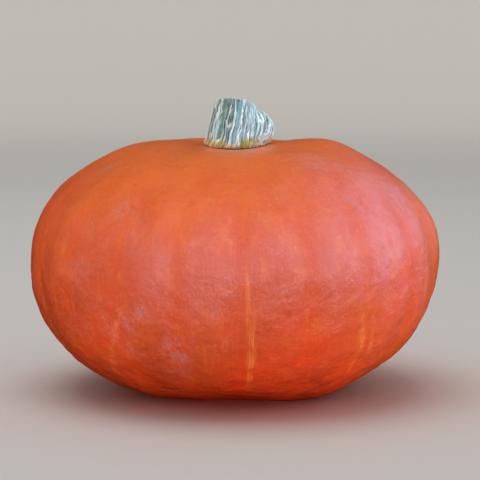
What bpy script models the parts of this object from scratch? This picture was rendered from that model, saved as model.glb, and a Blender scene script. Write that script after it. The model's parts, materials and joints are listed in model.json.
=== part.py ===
"""Kabocha squash with the corky stub of its stem, standing on its blossom end.

Units are metres and +Z is up. The origin is on the standing surface, under the
middle of the fruit. The front is -Y, and azimuths turn from the front towards +X.
"""

import math

import bmesh
import bpy
from mathutils import Matrix, Vector
from mathutils.bvhtree import BVHTree

for old in list(bpy.data.objects):
    bpy.data.objects.remove(old, do_unlink=True)

# Fruit: the rounded body, measured from the middle of its widest ring.
HALF_WIDTH = 0.1000
HALF_DEPTH = 0.0970
CROWN_HEIGHT = 0.0635
BASE_HEIGHT = 0.0668
CROWN_FULLNESS = 2.19           # exponents of the section: 2 is an ellipse, more is squarer
BASE_FULLNESS = 2.27
LEAN_FORWARD = math.radians(3.5)
LEAN_LEFT = math.radians(0.45)

# Ribs: shallow valleys that run from the stem to the blossom end.
RIB_COUNT = 10
RIB_START = math.radians(4)
RIB_DEPTH = 0.0007
RIB_SPREAD = math.radians(7)

# Low swellings and flats: azimuth, elevation and spread in degrees, then height.
SWELLINGS = (
    (90, 55, 18, 0.0023),
    (90, 5, 18, 0.0005),
    (-90, 55, 18, 0.0015),
    (-90, -50, 18, 0.0022),
    (42, -48, 14, 0.0023),
    (0, -48, 20, -0.0025),
    (0, 76, 14, -0.0010),
    (150, 62, 12, -0.0015),
    (178, 10, 24, 0.0012),
    (-140, -25, 20, 0.0015),
)

# Stem cavity in the crown, a little behind the fruit's own axis.
STEM_X = 0.0015
STEM_Y = 0.0045
CAVITY_DEPTH = 0.0078
CAVITY_RADIUS = 0.0375

# Blossom end: the base rests on a flat foot round a dimple with a small scar.
FOOT_PRESS = 0.0028              # how much of the round base the flat foot takes away
FOOT_BLEND = 0.0003
DIMPLE_DEPTH = 0.0055
DIMPLE_RADIUS = 0.0130
SCAR_HEIGHT = 0.0012
SCAR_RADIUS = 0.0035

# Stem: three rounded forms about one centre, which flow into each other.
STEM_CENTRE_HEIGHT = 0.0015      # of the centre above the cavity's middle
TRUNK_LEFT = 0.0138
TRUNK_RIGHT = 0.0112
TRUNK_DEPTH = 0.0125
TRUNK_HEIGHT = 0.0225
TRUNK_FULLNESS = 3.2
STEM_SQUARENESS = 2.5            # exponent of the level section: 2 is an ellipse
FLARE_WIDTH = 0.0163
FLARE_DEPTH = 0.0168
FLARE_HEIGHT = 0.0055
LOBE_LENGTH = 0.0213
LOBE_RADIUS = 0.0096
LOBE_FULLNESS = 2.5
LOBE_RISE = math.radians(39)
LOBE_AZIMUTH = math.radians(84)
STEM_BLEND = 26                  # power of the mean that joins the forms: more is a sharper crease
CUT_HEIGHT = 0.0208              # of the cut end, from the stem's centre
CUT_TILT = math.radians(17)
CUT_AZIMUTH = math.radians(150)  # the way the cut end faces, behind and a little right
FLUTE_COUNT = 9
FLUTE_DEPTH = 0.0004
SEAT_GAP = 0.0003                # between the stem's foot and the fruit

# Mesh density.
FRUIT_COLUMNS = 72
UPPER_RINGS = 27
UPPER_ANGLE = math.radians(150)
LOWER_RINGS = 13
STEM_COLUMNS = 45
STEM_RINGS = 14
STEM_SEAT_RINGS = 4


def direction(azimuth, elevation):
    """Unit vector at an azimuth from the front and an elevation from the level."""
    level = math.cos(elevation)
    return Vector((level * math.sin(azimuth), -level * math.cos(azimuth), math.sin(elevation)))


def wrapped(angle):
    """The angle, turned into the range from -pi to pi."""
    return math.remainder(angle, math.tau)


def bell(distance, spread):
    return math.exp(-(distance / spread) ** 2)


def material(name, colour, roughness):
    made = bpy.data.materials.new(name)
    made.use_nodes = True
    shader = made.node_tree.nodes["Principled BSDF"]
    shader.inputs["Base Color"].default_value = (*colour, 1.0)
    shader.inputs["Roughness"].default_value = roughness
    shader.inputs["Metallic"].default_value = 0.0
    return made


def swelling_height(outward):
    """Height that the low swellings add in one direction from the fruit's middle."""
    height = 0.0
    for azimuth, elevation, spread, peak in SWELLINGS:
        crest = direction(math.radians(azimuth), math.radians(elevation))
        away = math.acos(max(-1.0, min(1.0, outward.dot(crest))))
        height += peak * bell(away, math.radians(spread))
    return height


def rib_depth(azimuth):
    """Depth of the rib valleys at an azimuth, at the widest ring."""
    pitch = math.tau / RIB_COUNT
    off_line = math.remainder(azimuth - RIB_START, pitch)
    return RIB_DEPTH * bell(off_line, RIB_SPREAD)


def fruit_point(polar, azimuth):
    """Point of the fruit's skin; polar runs from 0 at the crown to pi at the blossom end."""
    outward = direction(azimuth, math.pi / 2 - polar)
    level, rise = math.sin(polar), math.cos(polar)
    equator = 1 / math.hypot(math.sin(azimuth) / HALF_WIDTH, math.cos(azimuth) / HALF_DEPTH)
    height = CROWN_HEIGHT if rise > 0 else BASE_HEIGHT
    fullness = CROWN_FULLNESS if rise > 0 else BASE_FULLNESS
    section = (level / equator) ** fullness + (abs(rise) / height) ** fullness
    radius = section ** (-1 / fullness)
    radius += swelling_height(outward) - rib_depth(azimuth) * level ** 2
    point = outward * radius
    if rise > 0:
        from_stem = math.hypot(point.x - STEM_X, point.y - STEM_Y)
        point.z -= CAVITY_DEPTH * bell(from_stem, CAVITY_RADIUS)
    else:
        from_axis = math.hypot(point.x, point.y)
        point.z += DIMPLE_DEPTH * bell(from_axis, DIMPLE_RADIUS)
        point.z -= SCAR_HEIGHT * bell(from_axis, SCAR_RADIUS)
    return settled(point)


def settled(point):
    """The point after the fruit leans and its base flattens on the standing surface."""
    lean = Matrix.Rotation(LEAN_FORWARD, 3, "X") @ Matrix.Rotation(-LEAN_LEFT, 3, "Y")
    stood = lean @ point
    stood.z += BASE_HEIGHT - FOOT_PRESS
    if stood.z <= -FOOT_BLEND:
        stood.z = 0.0
    elif stood.z < FOOT_BLEND:
        stood.z = (stood.z + FOOT_BLEND) ** 2 / (4 * FOOT_BLEND)
    return stood


def join_rings(mesh, lower, upper):
    """Fill the band between two rings that have the same number of vertices."""
    count = len(lower)
    for i in range(count):
        j = (i + 1) % count
        mesh.faces.new((lower[i], lower[j], upper[j], upper[i]))


def close_pole(mesh, ring, pole):
    count = len(ring)
    for i in range(count):
        mesh.faces.new((ring[i], ring[(i + 1) % count], pole))


def to_object(name, mesh, finish):
    bmesh.ops.recalc_face_normals(mesh, faces=mesh.faces)
    data = bpy.data.meshes.new(name)
    mesh.to_mesh(data)
    data.materials.append(finish)
    data.shade_smooth()
    made = bpy.data.objects.new(name, data)
    bpy.context.scene.collection.objects.link(made)
    return made


def fruit_mesh():
    """Closed skin of the fruit, with closer rings round the blossom end."""
    mesh = bmesh.new()
    polars = [UPPER_ANGLE * k / UPPER_RINGS for k in range(1, UPPER_RINGS + 1)]
    lower_step = (math.pi - UPPER_ANGLE) / (LOWER_RINGS + 1)
    polars += [UPPER_ANGLE + lower_step * k for k in range(1, LOWER_RINGS + 1)]
    azimuths = [math.tau * k / FRUIT_COLUMNS for k in range(FRUIT_COLUMNS)]
    rings = [[mesh.verts.new(fruit_point(p, a)) for a in azimuths] for p in polars]
    for upper, lower in zip(rings, rings[1:]):
        join_rings(mesh, lower, upper)
    close_pole(mesh, rings[0], mesh.verts.new(fruit_point(0.0, 0.0)))
    close_pole(mesh, rings[-1][::-1], mesh.verts.new(fruit_point(math.pi, 0.0)))
    return mesh


def squarish(across, along):
    """Size of a level section whose corners are a little fuller than an ellipse's."""
    return (abs(across) ** STEM_SQUARENESS + abs(along) ** STEM_SQUARENESS) ** (1 / STEM_SQUARENESS)


def trunk_reach(outward):
    side = TRUNK_RIGHT if outward.x > 0 else TRUNK_LEFT
    level = squarish(outward.x / side, outward.y / TRUNK_DEPTH)
    section = level ** TRUNK_FULLNESS + abs(outward.z / TRUNK_HEIGHT) ** TRUNK_FULLNESS
    return section ** (-1 / TRUNK_FULLNESS)


def flare_reach(outward):
    level = squarish(outward.x / FLARE_WIDTH, outward.y / FLARE_DEPTH)
    return 1 / math.hypot(level, outward.z / FLARE_HEIGHT)


def lobe_reach(outward):
    along = outward.dot(direction(LOBE_AZIMUTH, LOBE_RISE))
    across = math.sqrt(max(0.0, 1 - along ** 2))
    length = LOBE_LENGTH if along > 0 else LOBE_RADIUS
    section = abs(along / length) ** LOBE_FULLNESS + (across / LOBE_RADIUS) ** LOBE_FULLNESS
    return section ** (-1 / LOBE_FULLNESS)


def stem_reach(azimuth, elevation):
    """Distance from the stem's centre to its surface in one direction."""
    outward = direction(azimuth, elevation)
    forms = (trunk_reach(outward), flare_reach(outward), lobe_reach(outward))
    reach = sum(form ** STEM_BLEND for form in forms) ** (1 / STEM_BLEND)
    reach -= FLUTE_DEPTH * math.cos(FLUTE_COUNT * azimuth) * math.cos(elevation)
    facing = outward.dot(direction(CUT_AZIMUTH, math.pi / 2 - CUT_TILT))
    if facing > 0:
        reach = min(reach, CUT_HEIGHT / facing)
    return reach


def stem_mesh(skin):
    """Closed stub: a foot that follows the skin, a wall and a domed top with a cut end."""
    mesh = bmesh.new()
    down = Vector((0, 0, -1))

    def on_skin(x, y):
        hit = skin.ray_cast(Vector((x, y, 1.0)), down)[0]
        return Vector((x, y, hit.z + SEAT_GAP))

    seat = settled(Vector((STEM_X, STEM_Y, CROWN_HEIGHT - CAVITY_DEPTH)))
    centre = seat + Vector((0, 0, STEM_CENTRE_HEIGHT))
    azimuths = [math.tau * k / STEM_COLUMNS for k in range(STEM_COLUMNS)]
    feet = [stem_reach(a, 0.0) for a in azimuths]

    def seat_ring(share):
        offsets = [direction(a, 0.0) * (foot * share) for a, foot in zip(azimuths, feet)]
        return [mesh.verts.new(on_skin(centre.x + o.x, centre.y + o.y)) for o in offsets]

    def wall_point(azimuth, elevation):
        return centre + direction(azimuth, elevation) * stem_reach(azimuth, elevation)

    rings = [seat_ring(k / STEM_SEAT_RINGS) for k in range(1, STEM_SEAT_RINGS + 1)]
    rises = [math.pi / 2 * k / STEM_RINGS for k in range(1, STEM_RINGS)]
    rings += [[mesh.verts.new(wall_point(a, rise)) for a in azimuths] for rise in rises]
    for inner, outer in zip(rings, rings[1:]):
        join_rings(mesh, inner, outer)
    close_pole(mesh, rings[0][::-1], mesh.verts.new(on_skin(centre.x, centre.y)))
    close_pole(mesh, rings[-1], mesh.verts.new(wall_point(0.0, math.pi / 2)))
    return mesh


def centre_on_origin(meshes):
    """Bring the middle of all the pieces over the origin."""
    points = [vertex.co for mesh in meshes for vertex in mesh.verts]
    middle = Vector((
        (min(p.x for p in points) + max(p.x for p in points)) / 2,
        (min(p.y for p in points) + max(p.y for p in points)) / 2,
        0.0,
    ))
    for mesh in meshes:
        bmesh.ops.translate(mesh, verts=mesh.verts, vec=-middle)


def main():
    skin_finish = material("squash_skin", (0.72, 0.12, 0.025), 0.42)
    cork_finish = material("stem_cork", (0.55, 0.56, 0.48), 0.85)
    fruit = fruit_mesh()
    stem = stem_mesh(BVHTree.FromBMesh(fruit))
    centre_on_origin((fruit, stem))
    to_object("fruit", fruit, skin_finish)
    to_object("stem", stem, cork_finish)


main()
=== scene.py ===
"""Finished look of a kabocha squash: a grown fruit with a waxy orange skin and a corky stem.

Units are metres and +Z is up. The front of the squash faces -Y. Azimuths turn from the
front towards +X, and polar angles run from 0 at the crown to 180 degrees at the blossom end.
"""

import json
import math
from types import SimpleNamespace

import bpy
from bpy.props import FloatProperty, FloatVectorProperty, IntProperty, PointerProperty
from mathutils import Matrix, Vector

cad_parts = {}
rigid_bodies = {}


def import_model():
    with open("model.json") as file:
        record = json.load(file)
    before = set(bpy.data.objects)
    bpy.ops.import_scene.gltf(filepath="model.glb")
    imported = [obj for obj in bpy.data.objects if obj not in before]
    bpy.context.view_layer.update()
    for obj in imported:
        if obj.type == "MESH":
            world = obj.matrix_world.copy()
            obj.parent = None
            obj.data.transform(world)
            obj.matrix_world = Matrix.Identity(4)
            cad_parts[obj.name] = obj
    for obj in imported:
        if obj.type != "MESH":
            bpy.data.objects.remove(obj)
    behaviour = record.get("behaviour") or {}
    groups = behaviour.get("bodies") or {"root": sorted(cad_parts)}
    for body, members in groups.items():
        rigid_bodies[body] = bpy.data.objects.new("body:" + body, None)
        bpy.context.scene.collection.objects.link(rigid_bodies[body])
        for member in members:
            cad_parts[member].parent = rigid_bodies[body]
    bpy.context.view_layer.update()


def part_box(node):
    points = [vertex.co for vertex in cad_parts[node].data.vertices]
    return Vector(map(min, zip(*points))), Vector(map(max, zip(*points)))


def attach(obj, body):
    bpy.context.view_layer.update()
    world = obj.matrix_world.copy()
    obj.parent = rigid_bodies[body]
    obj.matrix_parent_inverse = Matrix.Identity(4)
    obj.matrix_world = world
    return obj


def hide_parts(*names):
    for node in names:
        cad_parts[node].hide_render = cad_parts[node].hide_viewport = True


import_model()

bl_info = {
    "name": "Kabocha Squash",
    "version": (1, 0, 0),
    "blender": (4, 5, 0),
    "location": "3D View > Sidebar > Squash",
    "description": "Grows a whole kabocha squash with a waxy skin and a corky stem",
    "category": "Add Mesh",
}

FRUIT_LOW, FRUIT_HIGH = (Vector(corner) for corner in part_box("fruit"))
STEM_LOW, STEM_HIGH = (Vector(corner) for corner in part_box("stem"))
FRUIT_SIZE = FRUIT_HIGH - FRUIT_LOW
STEM_SIZE = STEM_HIGH - STEM_LOW
UNIT = FRUIT_SIZE.x / 200.4      # one millimetre on a fruit of the standard width
DEGREES = 180 / math.pi          # degrees in a radian


# Node trees ---------------------------------------------------------------------------------


def signs(operation):
    """Methods that let a field stand before or after a sign of arithmetic."""
    return (lambda own, other: calc(operation, own, other),
            lambda own, other: calc(operation, other, own))


class Field:
    """A value in a node tree that takes part in sums as a number does."""

    def __init__(self, socket):
        self.socket = socket
        self.tree = socket.id_data

    __add__, __radd__ = signs("ADD")
    __sub__, __rsub__ = signs("SUBTRACT")
    __mul__, __rmul__ = signs("MULTIPLY")
    __truediv__, __rtruediv__ = signs("DIVIDE")
    __pow__, __rpow__ = signs("POWER")

    def __neg__(self):
        return self * -1.0

    def __abs__(self):
        return calc("ABSOLUTE", self)


def tree_of(values):
    return next(value.tree for value in values if isinstance(value, Field))


def plug(socket, value):
    """Link a field to a socket, or set a plain value on it."""
    if isinstance(value, Field):
        value.tree.links.new(value.socket, socket)
    else:
        socket.default_value = value


def result_of(tree, kind, inputs=(), output=0, **settings):
    """An output of a new node, after its settings and its inputs, by name or number, are set."""
    node = tree.nodes.new(kind)
    for name, value in settings.items():
        setattr(node, name, value)
    for name, value in dict(inputs).items():
        plug(node.inputs[name], value)
    return Field(node.outputs[output])


def calc(operation, *values):
    """One step of arithmetic on numbers and fields."""
    return result_of(tree_of(values), "ShaderNodeMath", enumerate(values), operation=operation)


def wrapped(value, half):
    """The value brought round into the span from -half to half."""
    return calc("WRAP", value, half, -half)


def joined(*parts):
    """A vector from three numbers or fields."""
    return result_of(tree_of(parts), "ShaderNodeCombineXYZ", enumerate(parts))


def split(vector):
    """The three components of a vector."""
    x = result_of(vector.tree, "ShaderNodeSeparateXYZ", {0: vector})
    return [Field(socket) for socket in x.socket.node.outputs]


def vector_calc(operation, *vectors):
    """One step of arithmetic on vectors, from which a length or a dot product is a number."""
    output = "Value" if operation in ("DOT_PRODUCT", "LENGTH") else "Vector"
    return result_of(tree_of(vectors), "ShaderNodeVectorMath", enumerate(vectors), output,
                     operation=operation)


def scaled(vector, scale):
    return result_of(vector.tree, "ShaderNodeVectorMath", {0: vector, "Scale": scale},
                     operation="SCALE")


def ramp(value, start, end, low=0.0, high=1.0):
    """Smooth step from low to high while the value goes from start to end."""
    ends = {"From Min": start, "From Max": end, "To Min": low, "To Max": high}
    return result_of(value.tree, "ShaderNodeMapRange", {"Value": value, **ends},
                     interpolation_type="SMOOTHSTEP")


def bell(distance, spread):
    share = distance / spread
    return calc("EXPONENT", -(share * share))


def strongest(fields):
    """The greatest of several fields."""
    first, *others = fields
    for each in others:
        first = calc("MAXIMUM", first, each)
    return first


def noise(vector, size, detail=2.0, roughness=0.5, lift=None):
    """Cloudy noise from 0 to 1 whose patches are about the given size; lift moves the draw."""
    if lift is not None:
        vector = vector_calc("ADD", vector, lift)
    return result_of(vector.tree, "ShaderNodeTexNoise", {
        "Vector": vector, "Scale": 1 / size, "Detail": detail, "Roughness": roughness})


def wobble(vector, size, **others):
    """Cloudy noise that goes as far below 0 as above it, by half at most."""
    return noise(vector, size, **others) - 0.5


def mixed(factor, first, second):
    """Colour between two colours."""
    first, second = (
        value if isinstance(value, Field) else (*value, 1.0) for value in (first, second))
    return result_of(factor.tree, "ShaderNodeMix", {0: factor, 6: first, 7: second}, 2,
                     data_type="RGBA")


def layered(ground, *layers):
    """A ground colour under layers, each of which is a share and a colour."""
    for share, colour in layers:
        ground = mixed(share, ground, colour)
    return ground


def heading_of(x, y):
    """Azimuth of a place from the front, in radians."""
    return calc("ARCTAN2", x, -y)


def round_axis(heading, reach, z):
    """Place at a heading in radians and at a reach from the upright axis."""
    return joined(reach * calc("SINE", heading), -reach * calc("COSINE", heading), z)


def direction(azimuth, elevation):
    """Unit vector at an azimuth from the front and an elevation, both in degrees."""
    turn, rise = math.radians(azimuth), math.radians(elevation)
    return Vector((
        math.cos(rise) * math.sin(turn),
        -math.cos(rise) * math.cos(turn),
        math.sin(rise),
    ))


def turned(first, second, angle):
    """Two components of a vector, turned in their own plane."""
    across, along = math.cos(angle), math.sin(angle)
    return first * across - second * along, first * along + second * across


# Steps of the growing trees -----------------------------------------------------------------


def new_shape_tree(name, sizes, **others):
    """Geometry tree with named inputs: sizes, others of a given kind, and a material.

    Returns the tree and its input fields by name.
    """
    tree = bpy.data.node_groups.new(name, "GeometryNodeTree")
    kinds = {**dict.fromkeys(sizes, "Float"), **others, "Finish": "Material"}
    for label, kind in kinds.items():
        tree.interface.new_socket(name=label, in_out="INPUT", socket_type="NodeSocket" + kind)
    tree.interface.new_socket(name="Shape", in_out="OUTPUT", socket_type="NodeSocketGeometry")
    entry = tree.nodes.new("NodeGroupInput")
    return tree, {socket.name: Field(socket) for socket in entry.outputs if socket.name}


def unit_ball(tree, shape):
    """Round ball of radius 1 with the columns and rings that a shape asks for."""
    return result_of(tree, "GeometryNodeMeshUVSphere",
                     {"Segments": shape.columns, "Rings": shape.rings, "Radius": 1.0})


def moved(shape, **place):
    """The shape with its points at a new Position, or moved by an Offset."""
    return result_of(shape.tree, "GeometryNodeSetPosition", {"Geometry": shape, **place})


def kept(shape, name, value, data_type="FLOAT", domain="POINT"):
    """The shape with a value stored on it, for its material or for a later step."""
    return result_of(shape.tree, "GeometryNodeStoreNamedAttribute",
                     {"Geometry": shape, "Name": name, "Value": value},
                     data_type=data_type, domain=domain)


def attribute_in(tree, name, data_type="FLOAT"):
    """Value that an earlier step of the tree stored on the points."""
    return result_of(tree, "GeometryNodeInputNamedAttribute", {"Name": name}, "Attribute",
                     data_type=data_type)


def held(shape, name, value, data_type="FLOAT"):
    """The shape with a value stored on its points, and the value as later steps read it."""
    return kept(shape, name, value, data_type), attribute_in(shape.tree, name, data_type)


def position_in(tree):
    return result_of(tree, "GeometryNodeInputPosition")


def shape_of(piece):
    """Geometry of another object, in the frame's coordinates."""
    return result_of(piece.tree, "GeometryNodeObjectInfo", {"Object": piece}, "Geometry",
                     transform_space="ORIGINAL")


def hit_on(piece, start, heading, reach):
    """Place where a ray from a start meets another object."""
    return result_of(piece.tree, "GeometryNodeRaycast", {
        "Target Geometry": shape_of(piece), "Source Position": start,
        "Ray Direction": heading, "Ray Length": reach}, "Hit Position")


def finish_tree(shape, finish):
    """End a tree: smooth faces, real geometry and its material."""
    smooth = result_of(shape.tree, "GeometryNodeSetShadeSmooth", {"Geometry": shape})
    real = result_of(shape.tree, "GeometryNodeRealizeInstances", {"Geometry": smooth})
    painted = result_of(shape.tree, "GeometryNodeSetMaterial",
                        {"Geometry": real, "Material": finish})
    plug(shape.tree.nodes.new("NodeGroupOutput").inputs["Shape"], painted)


def added(name, data):
    """New object of the scene."""
    made = bpy.data.objects.new(name, data)
    bpy.context.scene.collection.objects.link(made)
    return made


def grown(name, tree, values):
    """Plain mesh object that a tree makes from its named inputs."""
    carrier = added(name + "_carrier", bpy.data.meshes.new(name + "_carrier"))
    modifier = carrier.modifiers.new("growth", "NODES")
    modifier.node_group = tree
    for item in tree.interface.items_tree:
        if item.in_out == "INPUT" and item.name in values:
            modifier[item.identifier] = values[item.name]
    graph = bpy.context.evaluated_depsgraph_get()
    mesh = bpy.data.meshes.new_from_object(
        carrier.evaluated_get(graph), preserve_all_data_layers=True, depsgraph=graph)
    bpy.data.objects.remove(carrier, do_unlink=True)
    if not mesh.polygons:
        raise RuntimeError(name + " came out empty")
    mesh.name = name
    return added(name, mesh)


# Settings -----------------------------------------------------------------------------------


def size_setting(name, description, default):
    return FloatProperty(name=name, description=description, default=default, unit="LENGTH")


def colour_setting(name, description, default):
    return FloatVectorProperty(name=name, description=description, default=default,
                               subtype="COLOR", size=3, min=0.0, max=1.0)


def count_setting(name, description, default, least=1):
    return IntProperty(name=name, description=description, default=default, min=least)


def sizes_in(settings):
    """Sizes of a group of settings, by label."""
    return {each.name: getattr(settings, each.identifier)
            for each in settings.bl_rna.properties if each.type == "FLOAT"}


# Fruit shape --------------------------------------------------------------------------------


class FruitShape(bpy.types.PropertyGroup):
    """Sizes of the fruit, taken from the frame."""

    half_width: size_setting(
        "Half Width", "From the axis to the side of the widest ring", FRUIT_SIZE.x * 0.499)
    half_depth: size_setting(
        "Half Depth", "From the axis to the front of the widest ring", FRUIT_SIZE.y * 0.5008)
    crown_height: size_setting(
        "Crown Height", "From the widest ring to the crown, without the cavity",
        FRUIT_SIZE.z * 0.5153)
    base_height: size_setting(
        "Base Height", "From the widest ring down to the round base", FRUIT_SIZE.z * 0.5421)
    foot_press: size_setting(
        "Foot Press", "How much of the round base the flat spot takes away",
        FRUIT_SIZE.z * 0.0227)
    cavity_depth: size_setting(
        "Cavity Depth", "Depth of the hollow round the stem", FRUIT_SIZE.z * 0.0633)
    rib_depth: size_setting("Rib Depth", "Depth of the valleys between the ribs", 1.1 * UNIT)
    relief: size_setting("Relief", "Height of the lumps and crinkles of the skin", 1.0 * UNIT)
    columns: count_setting("Columns", "Faces round the fruit", 420, least=24)
    rings: count_setting("Rings", "Faces from the crown to the blossom end", 234, least=12)


CROWN_FULLNESS = 2.19            # 2 gives the section of an ellipse, and more a squarer one
BASE_FULLNESS = 2.27
LEAN_FORWARD = math.radians(3.5)
LEAN_LEFT = math.radians(0.45)
STEM_SEAT = (1.5 * UNIT, 4.5 * UNIT)   # middle of the cavity, right of and behind the axis
CAVITY_RADIUS = 37.5 * UNIT
DIMPLE_DEPTH = 5.5 * UNIT
DIMPLE_RADIUS = 13.0 * UNIT
SCAR_HEIGHT = 1.2 * UNIT
SCAR_RADIUS = 3.5 * UNIT
FOOT_BLEND = 0.3 * UNIT          # height over which the flat spot's edge is rounded
RIB_PITCH = math.tau / 10        # between two valleys, with a fainter one halfway
RIB_START = math.radians(3)
RIB_SPREAD = math.radians(7)
FAINT_SHARE = 0.6                # width and depth of a fainter valley

# Low swellings and flats of the fruit: azimuth, elevation and spread in degrees, then
# height in millimetres.
SWELLINGS = (
    (90, 55, 18, 2.3),
    (90, 5, 18, 0.5),
    (-90, 55, 18, 1.5),
    (-90, -50, 18, 2.2),
    (42, -48, 14, 2.3),
    (0, -48, 20, -2.5),
    (0, 76, 14, -1.0),
    (150, 62, 12, -1.5),
    (178, 10, 24, 1.2),
    (-140, -25, 20, 1.5),
    (90, 10, 8, 0.7),
    (90, 33, 9, -0.7),
    (90, 51, 8, 0.8),
    (90, -12, 8, -0.6),
    (90, -33, 9, 0.7),
)


def patch(outward, azimuth, elevation, spread):
    """Round patch on the fruit, 1 in its middle, with its place and spread in degrees."""
    toward = direction(azimuth, elevation)
    away = calc("ARCCOSINE", vector_calc("DOT_PRODUCT", outward, toward))
    return bell(away, math.radians(spread))


def section_radius(level, rise, height, fullness):
    """Reach of the rounded section along a ray with a level and a rising share."""
    return (level ** fullness + (abs(rise) / height) ** fullness) ** (-1 / fullness)


def fruit_body(size, outward):
    """Point of the smooth fruit along a direction, standing before its base is flattened."""
    x, y, z = split(outward)
    level = calc("SQRT", (x / size["Half Width"]) ** 2.0 + (y / size["Half Depth"]) ** 2.0)
    upper = section_radius(level, z, size["Crown Height"], CROWN_FULLNESS)
    lower = section_radius(level, z, size["Base Height"], BASE_FULLNESS)
    above = calc("GREATER_THAN", z, 0.0)
    radius = upper * above + lower * (1.0 - above)
    for azimuth, elevation, spread, height in SWELLINGS:
        radius = radius + patch(outward, azimuth, elevation, spread) * (height * UNIT)
    turn = heading_of(x, y) - RIB_START
    valley = bell(wrapped(turn, RIB_PITCH / 2), RIB_SPREAD)
    faint = bell(wrapped(turn + RIB_PITCH / 2, RIB_PITCH / 2), RIB_SPREAD * FAINT_SHARE)
    shallow = (x * x + y * y) * ramp(z, 0.05, 0.75, 1.0, 0.3)
    radius = radius - (valley + faint * FAINT_SHARE) * size["Rib Depth"] * shallow
    x, y, z = x * radius, y * radius, z * radius
    from_stem = calc("SQRT", (x - STEM_SEAT[0]) ** 2.0 + (y - STEM_SEAT[1]) ** 2.0)
    from_axis = calc("SQRT", x * x + y * y)
    cavity = bell(from_stem, CAVITY_RADIUS) * size["Cavity Depth"] * above
    dimple = bell(from_axis, DIMPLE_RADIUS) * DIMPLE_DEPTH
    scar = bell(from_axis, SCAR_RADIUS) * SCAR_HEIGHT
    z = z - cavity + (dimple - scar) * (1.0 - above)
    z, x = turned(z, x, -LEAN_LEFT)
    y, z = turned(y, z, LEAN_FORWARD)
    return joined(x, y, z + size["Base Height"] - size["Foot Press"])


def skin_relief(size, outward):
    """Height of lumps and crinkles over the smooth skin, from the growth direction."""
    x, y, z = split(outward)
    flank = ramp(abs(z), 0.55, 0.95, 1.0, 0.15)
    span = scaled(outward, size["Half Width"])
    wide = scaled(joined(x, y, z * 1.1), size["Half Width"])
    lumps = wobble(span, 34 * UNIT, detail=0.0) * 1.9
    dents = wobble(span, 11 * UNIT, detail=1.0, lift=(3.0, 1.0, 7.0)) * 1.45
    crinkle = wobble(wide, 4.6 * UNIT, detail=1.5, lift=(1.0, 5.0, 2.0)) * 0.6
    lower = ramp(z, 0.30, -0.15, 0.35, 1.0)
    return (lumps + (dents + crinkle) * lower) * flank * size["Relief"]


def fruit_tree(shape):
    """Geometry tree that grows the fruit from its sizes."""
    tree, size = new_shape_tree("squash_fruit_growth", sizes_in(shape))
    ball = unit_ball(tree, shape)
    skin, outward = held(ball, "growth", position_in(tree), "FLOAT_VECTOR")
    skin = moved(skin, Position=fruit_body(size, outward))
    normal = result_of(tree, "GeometryNodeInputNormal")
    skin = moved(skin, Offset=scaled(normal, skin_relief(size, outward)))
    # Points below the floor come up to it, with a soft edge round the flat spot.
    x, y, z = split(position_in(tree))
    rounded = (calc("MAXIMUM", z, -FOOT_BLEND) + FOOT_BLEND) ** 2.0 / (4 * FOOT_BLEND)
    settled = calc("MAXIMUM", calc("MINIMUM", rounded, abs(z)), 0.0)
    low = calc("LESS_THAN", z, FOOT_BLEND)
    skin = moved(skin, Position=joined(x, y, settled * low + z * (1.0 - low)))
    finish_tree(skin, size["Finish"])
    return tree


def settle_in_box(piece, low, high):
    """Shift a piece's mesh so that its middle stands over the middle of a box, on its floor."""
    own_low, own_high = (Vector(map(pick, zip(*piece.bound_box))) for pick in (min, max))
    shift = (low + high - own_low - own_high) / 2
    shift.z = low.z - own_low.z
    piece.data.transform(Matrix.Translation(shift))


# Skin ---------------------------------------------------------------------------------------


class SkinFinish(bpy.types.PropertyGroup):
    """Colours of the fruit's skin."""

    crown: colour_setting("Crown", "Yellower orange round the stem", (0.62, 0.136, 0.016))
    flank: colour_setting("Flank", "Red orange of the broad sides", (0.48, 0.059, 0.0065))
    pit: colour_setting("Pit", "Darker red of the low places", (0.42, 0.042, 0.005))
    # Base is partly the real deeper red of the underside and partly painted light: its red is
    # brighter than the flank's, standing in for light from below.
    base: colour_setting("Base", "Deeper red of the underside", (0.80, 0.058, 0.005))
    streak: colour_setting("Streak", "Yellow of the lines along the ribs", (0.82, 0.33, 0.08))
    scuff: colour_setting("Scuff", "Lilac grey of rubbed wax", (0.42, 0.23, 0.25))
    # Bloom is partly the dull pink of thick wax and partly a painted sheen of sky light.
    bloom: colour_setting("Bloom", "Dull pink where the wax is thick", (0.53, 0.16, 0.25))
    bark: colour_setting(
        "Bark", "Dull tan round the stem and on the blossom scar", (0.34, 0.19, 0.085))


# Yellow lines: azimuth at the widest ring and half width in degrees, how far the azimuth
# moves for each degree further down, polar angles where a line starts and ends, and strength.
STREAKS = (
    (3.8, 0.4, 0.02, 84, 125, 0.55),
    (5.0, 0.35, 0.02, 97, 120, 0.65),
    (35.5, 0.7, 0.22, 98, 110, 1.0),
    (39.0, 0.45, 0.26, 99, 107, 0.9),
    (36.5, 0.5, 0.16, 106, 124, 0.5),
    (66, 0.6, 0.0, 88, 108, 0.4),
    (-17, 0.4, -0.60, 124, 142, 0.7),
    (-29, 0.5, -0.50, 95, 124, 0.3),
    (-68, 0.7, 0.0, 100, 120, 0.45),
    (112, 0.7, 0.2, 100, 150, 0.7),
    (148, 0.6, 0.1, 90, 140, 0.6),
    (184, 0.8, 0.0, 105, 155, 0.8),
    (221, 0.6, -0.1, 95, 145, 0.6),
    (256, 0.7, -0.2, 110, 150, 0.6),
)

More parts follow.
